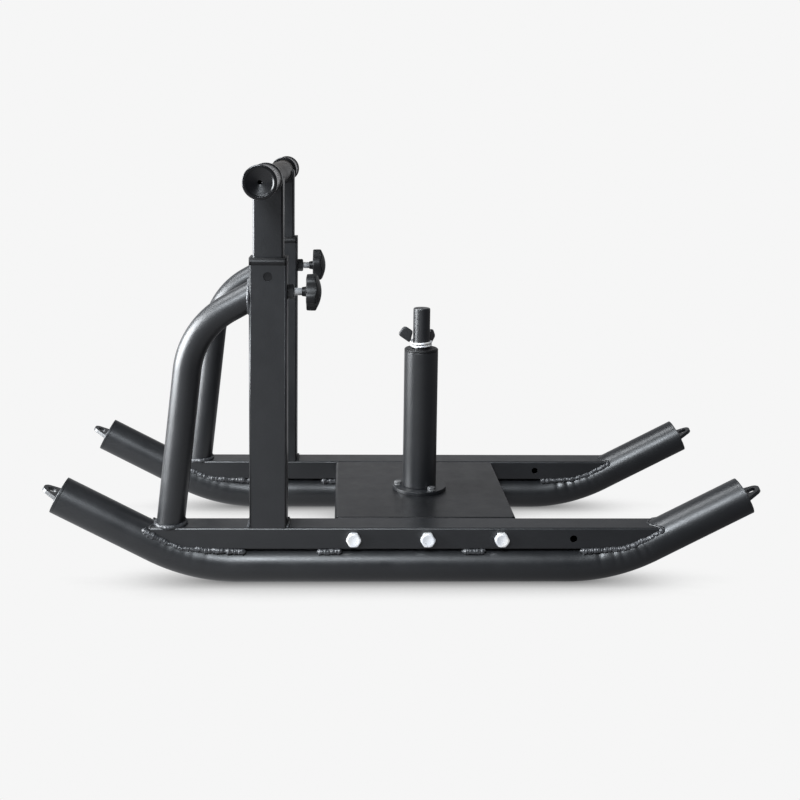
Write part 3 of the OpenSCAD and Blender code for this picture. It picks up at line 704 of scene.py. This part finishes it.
def add_edge_welds(side, k, edge):
    """Stitches under one edge of a rail, and the beads that run on round its coped ends."""
    middle = SIDES[side] * RAIL_Y
    y = middle + edge * GROOVE_Y
    cope_y = middle + edge * (RAIL_HALF - 1.2 * MM)
    height = surface_height(RAIL_HALF)
    cope_start = math.acos((BEND_R + RUNNER_R - RAIL_BOTTOM) / (BEND_R - height))
    turns = [cope_start + (RISE_ANGLE - cope_start) * t / 12 for t in range(2, 13)]
    cope = [runner_point(FLAT_HALF + BEND_R * a, cope_y, height - 1.2 * MM) for a in turns]
    for n, ends in enumerate(STITCHES):
        line = [Vector((x, y, GROOVE_Z)) for x in ends]
        bead(f"{side}_rail_stitch_{k}_{n}", line, GROOVE_R, blob=0.25)
    for end_name, end, start in COPE_BEAD_STARTS:
        line = [Vector((start, y, GROOVE_Z))]
        if end < 0:
            line.append(Vector((FLAT_HALF + 8 * MM, y, GROOVE_Z)))
        line += cope + [rise_point(height, RAIL_TOP - 2 * MM, cope_y)]
        bead(f"{side}_{end_name}_cope_bead_{k}", flip_x(smoothed(line), end), COPE_R, blob=0.2)


def add_tip_welds(side):
    """Beads across the tips of a rail's top."""
    middle = SIDES[side] * RAIL_Y
    across = [RAIL_HALF * t / 10 for t in range(-10, 11)]
    for end_name, end, reach in (("rear", -1, -RAIL_LOW.x), ("front", 1, RAIL_HIGH.x)):
        line = [rise_point(surface_height(t), RAIL_TOP, middle + t) for t in across]
        line = [Vector((min(p.x, reach), p.y, p.z - 0.8 * MM)) for p in line]
        bead(f"{side}_{end_name}_tip_bead", flip_x(line, end), TIP_R, material=PAINT)


def add_upright_welds(side):
    """Beads at the foot of an upright, round its clamp nut and at both ends of its brace."""
    middle = SIDES[side] * RAIL_Y
    half_w = (UPRIGHT_HIGH.y - UPRIGHT_LOW.y) / 2
    for name, x in (("front", UPRIGHT_HIGH.x + 1 * MM), ("back", UPRIGHT_LOW.x - 1 * MM)):
        ends = [Vector((x, middle + t * (half_w - 1.5 * MM), RAIL_TOP + 0.6 * MM)) for t in (-1, 1)]
        bead(f"{side}_upright_{name}_bead", ends, 2.8 * MM)
    nut_r = (NUT_HIGH.y - NUT_LOW.y) / 2
    nut = ring_path((NUT_LOW.x + 0.6 * MM, middle, CLAMP_Z), (0, nut_r, 0), (0, 0, nut_r))
    bead(f"{side}_clamp_nut_bead", nut, 1.5 * MM, closed=True)
    foot_r = BRACE_R + 1 * MM
    foot_at = BRACE_FOOT.x, middle, RAIL_TOP + 0.8 * MM
    foot = ring_path(foot_at, (foot_r, 0, 0), (0, foot_r, 0))
    bead(f"{side}_brace_foot_bead", foot, 3.2 * MM, closed=True)
    half_across = BRACE_R + 0.8 * MM
    half_up = BRACE_R / math.cos(BRACE_SLOPE) + 0.8 * MM
    top_at = UPRIGHT_LOW.x - 0.8 * MM, middle, BRACE_END.z
    top = ring_path(top_at, (0, half_across, 0), (0, 0, half_up))
    bead(f"{side}_brace_top_bead", top, 2.2 * MM, closed=True)


def add_lug_welds(side):
    """Beads on both faces of each tow lug, where it leaves the end disc."""
    middle = SIDES[side] * RAIL_Y
    half = (LUG_HIGH.y - LUG_LOW.y) / 2 - 1 * MM
    disc_face = RUNNER_HALF_L + 4.6 * MM
    for end_name, end in (("rear", -1), ("front", 1)):
        for k, face in enumerate((-1, 1)):
            line = [runner_point(disc_face, middle + t * half, face * 3.2 * MM) for t in (-1, 1)]
            bead(f"{side}_{end_name}_lug_bead_{k}", flip_x(line, end), 1.6 * MM)


def add_handle_welds(side):
    """Saddle beads where the bar lies in the end of a handle leg."""
    middle = SIDES[side] * RAIL_Y
    half_w = (LEG_HIGH.y - LEG_LOW.y) / 2
    half_l = (LEG_HIGH.x - LEG_LOW.x) / 2
    turns = [math.pi * t / 24 for t in range(25)]
    r = BAR_R + 0.6 * MM
    for k, face in enumerate((-1, 1)):
        y = middle + face * (half_w + 0.5 * MM)
        saddle = [Vector((UPRIGHT_X + r * math.cos(a), y, BAR_Z - r * math.sin(a))) for a in turns]
        bead(f"{side}_leg_saddle_bead_{k}", saddle, 1.9 * MM, "handle")
        x = UPRIGHT_X + face * (half_l + BAR_R) / 2
        edge = [Vector((x, middle + t * (half_w - 1 * MM), BAR_Z)) for t in (-1, 1)]
        bead(f"{side}_leg_top_bead_{k}", edge, 2.0 * MM, "handle")


for side in SIDES:
    for k, edge in enumerate((-1, 1)):
        add_edge_welds(side, k, edge)
    add_tip_welds(side)
    add_upright_welds(side)
    add_lug_welds(side)
    add_handle_welds(side)


# Clamp knobs

KNOB_LOBES = 5
KNOB_R = 25.5 * MM
KNOB_HOLLOW_R = 20.8 * MM
KNOB_NECK = 6 * MM
KNOB_RIM = 11.5 * MM
KNOB_ROUND = 2.4 * MM
KNOB_THICK = KNOB_HIGH.x - KNOB_LOW.x - KNOB_NECK


def knob_outline():
    """A function that gives the knob's radius in each direction; lobes and hollows are arcs."""
    lobe_r = KNOB_R * 0.37
    lobe_at = KNOB_R - lobe_r
    half = math.pi / KNOB_LOBES
    step = lobe_r - KNOB_HOLLOW_R
    hollow_at = (lobe_at ** 2 - step ** 2) / (2 * (step + lobe_at * math.cos(half)))
    hollow_r = hollow_at - KNOB_HOLLOW_R
    meet = math.atan2(hollow_at * math.sin(half), hollow_at * math.cos(half) - lobe_at)
    meet_angle = math.atan2(lobe_r * math.sin(meet), lobe_at + lobe_r * math.cos(meet))

    def reach(angle):
        a = abs((angle + half) % (2 * half) - half)
        if a < meet_angle:
            return lobe_at * math.cos(a) + math.sqrt(lobe_r ** 2 - (lobe_at * math.sin(a)) ** 2)
        b = half - a
        return hollow_at * math.cos(b) - math.sqrt(hollow_r ** 2 - (hollow_at * math.sin(b)) ** 2)

    return reach


def knob_dome(r):
    """Height of the domed front at a radius."""
    drop = KNOB_THICK - KNOB_RIM
    dome_r = (KNOB_R ** 2 + drop ** 2) / (2 * drop)
    return KNOB_THICK - dome_r + math.sqrt(dome_r ** 2 - r ** 2)


def knob_rings(r):
    """(radius, height) from the back's middle to the dome's top, for one direction."""
    points = [(0, 0), (r * 0.6, 0), (r - 2 * MM, 0), (r - 1 * MM, 0.2 * MM),
              (r - 0.4 * MM, 0.8 * MM), (r - 0.2 * MM, 2 * MM), (r, KNOB_RIM * 0.6)]
    inner = r - KNOB_ROUND
    edge = knob_dome(inner)
    for k in range(7):
        a = math.pi / 2 * k / 6
        points.append((r - KNOB_ROUND * (1 - math.cos(a)), edge - KNOB_ROUND * (1 - math.sin(a))))
    shares = 0.9, 0.8, 0.65, 0.5, 0.35, 0.2, 0.1, 0
    return points + [(inner * share, knob_dome(inner * share)) for share in shares]


def add_knob(side, turn):
    """Five lobes with hollows between them, a domed front, rounded edges and a neck."""
    columns = 150
    middle = SIDES[side] * RAIL_Y
    back = KNOB_LOW.x + KNOB_NECK
    reach = knob_outline()
    angles = [2 * math.pi * j / columns for j in range(columns)]
    profiles = [(angle, knob_rings(reach(angle - turn))) for angle in angles]
    rows = len(profiles[0][1])
    verts = []
    for i in range(rows):
        for angle, points in profiles:
            r, h = points[i]
            verts.append((back + h, middle + r * math.sin(angle), CLAMP_Z - r * math.cos(angle)))
    faces = grid_faces(rows, columns)
    neck = [(0, -KNOB_NECK), (6 * MM, -KNOB_NECK), (7 * MM, 0.5 * MM), (0, 0.5 * MM)]
    more, more_faces = lathe(fillet(neck, [0.5 * MM, 0.0]), (back, middle, CLAMP_Z), (1, 0, 0), 48)
    faces += [tuple(len(verts) + k for k in face) for face in more_faces]
    verts += more
    body = f"{side}_knob"
    build(f"{side}_knob", verts, faces, PLASTIC, body, [f"{side}_clamp_knob"], 50)


add_knob("right", 0)
add_knob("left", math.pi)


# Hand grips

GRIP_BODY_R = BAR_R + 3 * MM
GRIP_RIM_R = GRIP_BODY_R + 2 * MM
GRIP_BORE_R = BAR_R + 0.1 * MM
GRIP_END_WALL = 7 * MM
VENT_R = 2.5 * MM
RING_PITCH = 4 * MM
RING_DEPTH = 0.45 * MM


def grip_profile(length):
    """(radius, distance from the outer end) round the grip's section, from its vent outwards."""
    groove_r = GRIP_BODY_R - RING_DEPTH
    vent_end = (VENT_R, GRIP_END_WALL - 0.1 * MM)
    face = [vent_end, (VENT_R, 4.2 * MM), (GRIP_BODY_R - 3.4 * MM, 1.2 * MM),
            (GRIP_BODY_R - 1.8 * MM, 0), (GRIP_RIM_R, 0), (GRIP_RIM_R, 5 * MM),
            (GRIP_BODY_R, 8 * MM)]
    rings = []
    for k in range(int((length - 22 * MM) / RING_PITCH)):
        at = 11 * MM + k * RING_PITCH
        rings += [(GRIP_BODY_R, at), (groove_r, at + 0.35 * MM), (groove_r, at + 0.95 * MM),
                  (GRIP_BODY_R, at + 1.3 * MM)]
    back = [(GRIP_BODY_R, length - 7 * MM), (GRIP_RIM_R, length - 4.5 * MM),
            (GRIP_RIM_R, length - 1 * MM), (GRIP_RIM_R - 1 * MM, length), (GRIP_BORE_R, length),
            (GRIP_BORE_R, GRIP_END_WALL - 0.1 * MM)]
    face = fillet(face, [0.5 * MM, 1 * MM, 0.8 * MM, 2.2 * MM, 1.2 * MM], 8)
    back = fillet(back, [1.5 * MM, 0.8 * MM, 0.4 * MM, 0.3 * MM])
    return face + rings + back + [vent_end]


def add_hand_grip(side):
    """Rubber sleeve with fine rings, a rim at both ends and a dished, vented end face."""
    end = SIDES[side]
    start = (UPRIGHT_X, GRIP_LOW.y * -end, BAR_Z)
    verts, faces = lathe(grip_profile(GRIP_HIGH.y - GRIP_LOW.y), start, (0, -end, 0), 96)
    name = f"{side}_grip_rubber"
    build(name, verts, faces, RUBBER, "handle", [f"{side}_hand_grip"], 50)


for side in SIDES:
    add_hand_grip(side)


# Spring collar: round wire in two halves of a coil, and its two ends

WIRE_R = 1.5 * MM
COIL_GAP = 0.3 * MM
COIL_R = PIN_R + COIL_GAP + WIRE_R
COIL_Z = SLEEVE_TOP + COIL_GAP + WIRE_R
COIL_PITCH = 4.2 * MM
COIL_TURN = 2 * math.pi * 2 + math.radians(120)
LOWER_AZIMUTH = math.radians(60)
UPPER_AZIMUTH = math.pi
WIRE_BEND_R = 3 * MM
WIRE_RISE = math.radians(34)
WIRE_STEM = 14.4 * MM


def coil_point(turn):
    """Point of the wire's centre line, at an angle from its lower end."""
    azimuth = LOWER_AZIMUTH + turn
    return Vector((POST_X + COIL_R * math.cos(azimuth), COIL_R * math.sin(azimuth),
                   COIL_Z + COIL_PITCH * turn / (2 * math.pi)))


def add_coil_half(name, start, end, replaced):
    """Half of the coil; its free end winds up with the wire end that it carries."""
    path = [coil_point(start + (end - start) * k / 120) for k in range(121)]
    verts, faces = sweep(path, 16, lambda i, angle: WIRE_R)
    piece = build(name, verts, faces, WIRE_ZINC, None, replaced)
    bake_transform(piece)


def from_coil(azimuth, z, hand):
    """Maps (outwards, along the tangent, up) from an end of the coil to the part's frame."""
    place = Matrix.Translation((POST_X, 0, z)) @ Matrix.Rotation(azimuth, 4, "Z")
    return lambda p: place @ Vector((COIL_R + p[0], hand * (p[1] + 0.1 * MM), p[2]))


def add_wire_end(name, azimuth, z, hand, body):
    """Wire that leaves the coil along its tangent, turns outwards and then rises."""
    r = WIRE_BEND_R
    turns = [math.pi / 2 * k / 12 for k in range(13)]
    local = [(r * (1 - math.cos(a)), r * math.sin(a), 0) for a in turns]
    turns = [WIRE_RISE * k / 8 for k in range(1, 9)]
    local += [(r * (1 + math.sin(a)), r, r * (1 - math.cos(a))) for a in turns]
    x, y, up = local[-1]
    local.append((x + WIRE_STEM * math.cos(WIRE_RISE), y, up + WIRE_STEM * math.sin(WIRE_RISE)))
    path = [from_coil(azimuth, z, hand)(p) for p in local]
    verts, faces = sweep(path, 16, lambda i, angle: WIRE_R)
    build(name, verts, faces, WIRE_ZINC, body, [body + "_wire_end"])


COLLAR_GRIP_L = 19 * MM
COLLAR_GRIP_W = 17 * MM
COLLAR_GRIP_THICK = 6 * MM
COLLAR_GRIP_LOW = -2.25 * MM
COLLAR_GRIP_LEAN = math.radians(21)
COLLAR_GRIP_ROUND = 2.4 * MM


def collar_grip_outline(start):
    """Leaning tongue with rounded corners; start is its place along the wire's stem."""
    top = COLLAR_GRIP_LOW + COLLAR_GRIP_W
    lean = COLLAR_GRIP_W * math.tan(COLLAR_GRIP_LEAN)
    tip = start + COLLAR_GRIP_L + lean / 2
    corners = [(start, COLLAR_GRIP_LOW), (start + lean, top), (tip, top), (tip, COLLAR_GRIP_LOW)]
    middle = Vector((sum(c[0] for c in corners) / 4, sum(c[1] for c in corners) / 4))
    halfway = [tuple((Vector(corners[-1]) + Vector(corners[0])) / 2)]
    radii = [3 * MM, 4 * MM, 6.5 * MM, 6 * MM]
    return fillet(halfway + corners + halfway, radii, 8)[:-1], middle


def add_collar_grip(name, start, azimuth, z, hand, body):
    """Rounded rubber tongue moulded on a wire end."""
    outline, middle = collar_grip_outline(start)
    edge = COLLAR_GRIP_ROUND
    half = COLLAR_GRIP_THICK / 2
    turns = [math.pi / 2 * k / 6 for k in range(7)]
    rings = [(edge * (1 - math.sin(a)), edge * (1 - math.cos(a)) - half) for a in turns]
    rings += [(inset, -across) for inset, across in reversed(rings)]
    slope = Matrix.Rotation(-WIRE_RISE, 4, "Y")
    r = WIRE_BEND_R
    root = Vector((r * (1 + math.sin(WIRE_RISE)), r, r * (1 - math.cos(WIRE_RISE))))
    to_frame = from_coil(azimuth, z, hand)
    verts = []

    def add_layer(inset, across, share=1):
        for point in outline:
            arm = Vector(point) - middle
            x, y = middle + arm * share * (1 - inset / arm.length)
            verts.append(to_frame(root + slope @ Vector((x, across, y))))

    add_layer(edge, -half, 0)
    add_layer(edge, -half, 0.6)
    for inset, across in rings:
        add_layer(inset, across)
    add_layer(edge, half, 0.6)
    add_layer(edge, half, 0)
    faces = grid_faces(len(verts) // len(outline), len(outline))
    build(name, verts, faces, SOFT_RUBBER, body, [body + "_grip"], 50)


UPPER_Z = coil_point(COIL_TURN).z
add_coil_half("coil_lower_half", 0, COIL_TURN / 2, ["collar_coil"])
add_coil_half("coil_upper_half", COIL_TURN / 2, COIL_TURN, [])
add_wire_end("lower_wire", LOWER_AZIMUTH, COIL_Z, -1, "collar_lower")
add_wire_end("upper_wire", UPPER_AZIMUTH, UPPER_Z, 1, "collar_upper")
add_collar_grip("lower_grip_rubber", -0.9 * MM, LOWER_AZIMUTH, COIL_Z, -1, "collar_lower")
add_collar_grip("upper_grip_rubber", -3.9 * MM, UPPER_AZIMUTH, UPPER_Z, 1, "collar_upper")


# Camera, from the fitted view of the photograph

def add_camera():
    """Places the camera by the fitted angles, in radians, focal length and picture centre."""
    place = Vector((-0.0851, -1.5404, 0.60165))
    frame_px = 800
    focal_px = 1057.36
    centre_px = (371.96, 256.80)
    pitch = 0.111
    yaw = 0.027
    roll = 0.010
    forward = Vector((math.sin(yaw) * math.cos(pitch), math.cos(yaw) * math.cos(pitch),
                      -math.sin(pitch)))
    level = Vector((math.cos(yaw), -math.sin(yaw), 0))
    upright = level.cross(forward)
    right = level * math.cos(roll) + upright * math.sin(roll)
    up = upright * math.cos(roll) - level * math.sin(roll)
    camera = bpy.data.objects.new("camera", bpy.data.cameras.new("camera"))
    camera.data.sensor_width = 36
    camera.data.lens = focal_px / frame_px * camera.data.sensor_width
    camera.data.shift_x = (frame_px / 2 - centre_px[0]) / frame_px
    camera.data.shift_y = (centre_px[1] - frame_px / 2) / frame_px
    camera.data.clip_start = 0.01
    rotation = Matrix((right, up, -forward)).transposed()
    camera.matrix_world = Matrix.Translation(place) @ rotation.to_4x4()
    SCENE.collection.objects.link(camera)
    SCENE.camera = camera


# Light, floor and background

PALE = (0.921, 0.921, 0.921)


def grey(level):
    """A neutral colour."""
    return level, level, level


def add_lamp(name, place, target, size, power, colour):
    """A rectangular lamp, pointed at target."""
    data = bpy.data.lights.new(name, "AREA")
    data.shape = "RECTANGLE"
    data.size, data.size_y = size
    data.energy = power
    data.color = colour
    lamp = bpy.data.objects.new(name, data)
    lamp.location = place
    lamp.rotation_euler = (Vector(target) - Vector(place)).to_track_quat("-Z", "Y").to_euler()
    SCENE.collection.objects.link(lamp)


def add_world():
    """Pale background for the camera; as a light, dimmer in front, above and on the right."""
    world = bpy.data.worlds.new("studio")
    world.use_nodes = True
    tree = world.node_tree
    tree.nodes.clear()
    out = tree.nodes.new("ShaderNodeOutputWorld")
    background = tree.nodes.new("ShaderNodeBackground")
    coords = tree.nodes.new("ShaderNodeTexCoord")
    split = tree.nodes.new("ShaderNodeSeparateXYZ")
    tree.links.new(coords.outputs["Generated"], split.inputs[0])
    back = span(tree, split.outputs["Y"], 0, 1, -0.6, 0.5)
    room = ramp(tree, back, [(0.0, (0.07, 0.073, 0.079)), (1.0, (1.05, 1.06, 1.09))])
    above = ramp(tree, split.outputs["Z"], [(0.06, grey(1)), (0.32, grey(0.5)), (0.8, grey(0.2))])
    room = mix_colour(tree, 1.0, room, above, "MULTIPLY")
    right = span(tree, split.outputs["X"], 0, 1, -0.3, 0.4)
    right = ramp(tree, right, [(0.0, grey(1)), (1.0, grey(0.5))])
    room = mix_colour(tree, 1.0, room, right, "MULTIPLY")
    rays = tree.nodes.new("ShaderNodeLightPath")
    colour = mix_colour(tree, rays.outputs["Is Camera Ray"], room, PALE)
    tree.links.new(colour, background.inputs["Color"])
    tree.links.new(background.outputs[0], out.inputs[0])
    SCENE.world = world


def add_floor():
    """Pale floor with a soft contact shadow; as a light, it is brighter on the left."""
    material = bpy.data.materials.new("floor")
    material.use_nodes = True
    tree = material.node_tree
    tree.nodes.clear()
    out = tree.nodes.new("ShaderNodeOutputMaterial")
    plain = tree.nodes.new("ShaderNodeEmission")
    rays = tree.nodes.new("ShaderNodeLightPath")
    coords = tree.nodes.new("ShaderNodeTexCoord")
    split = tree.nodes.new("ShaderNodeSeparateXYZ")
    tree.links.new(coords.outputs["Object"], split.inputs[0])
    across = span(tree, split.outputs["X"], 0, 1, -0.45, 0.45)
    glow = ramp(tree, across, [(0.0, (0.64, 0.65, 0.67)), (1.0, (0.15, 0.15, 0.16))])
    near = tree.nodes.new("ShaderNodeAmbientOcclusion")
    near.inputs["Distance"].default_value = 0.11
    stops = [(0.0, grey(0.2)), (0.5, grey(0.63)), (0.74, grey(1))]
    shadow = ramp(tree, near.outputs["AO"], stops)
    shadow = mix_colour(tree, 1.0, shadow, PALE, "MULTIPLY")
    colour = mix_colour(tree, rays.outputs["Is Camera Ray"], glow, shadow)
    tree.links.new(colour, plain.inputs["Color"])
    tree.links.new(plain.outputs[0], out.inputs[0])
    half = 6.0
    corners = [(-half, -half, 0), (half, -half, 0), (half, half, 0), (-half, half, 0)]
    mesh = bpy.data.meshes.new("floor")
    mesh.from_pydata(corners, [], [(0, 1, 2, 3)])
    mesh.materials.append(material)
    floor = bpy.data.objects.new("floor", mesh)
    SCENE.collection.objects.link(floor)


add_camera()
add_world()
add_floor()
COOL = (0.93, 0.965, 1)
POST_FOOT = (0.1, 0, 0.1)
add_lamp("front_top", (-1.1, -2.8, 2.6), POST_FOOT, (1.8, 0.7), 190, (0.88, 0.94, 1))
add_lamp("over_left", (-1.4, 0.1, 2.9), POST_FOOT, (1.2, 2.0), 80, COOL)
add_lamp("left_key", (-2.0, -0.35, 0.66), (-0.15, 0, 0.25), (1.6, 1.2), 155, COOL)
SCENE.view_settings.view_transform = "Standard"
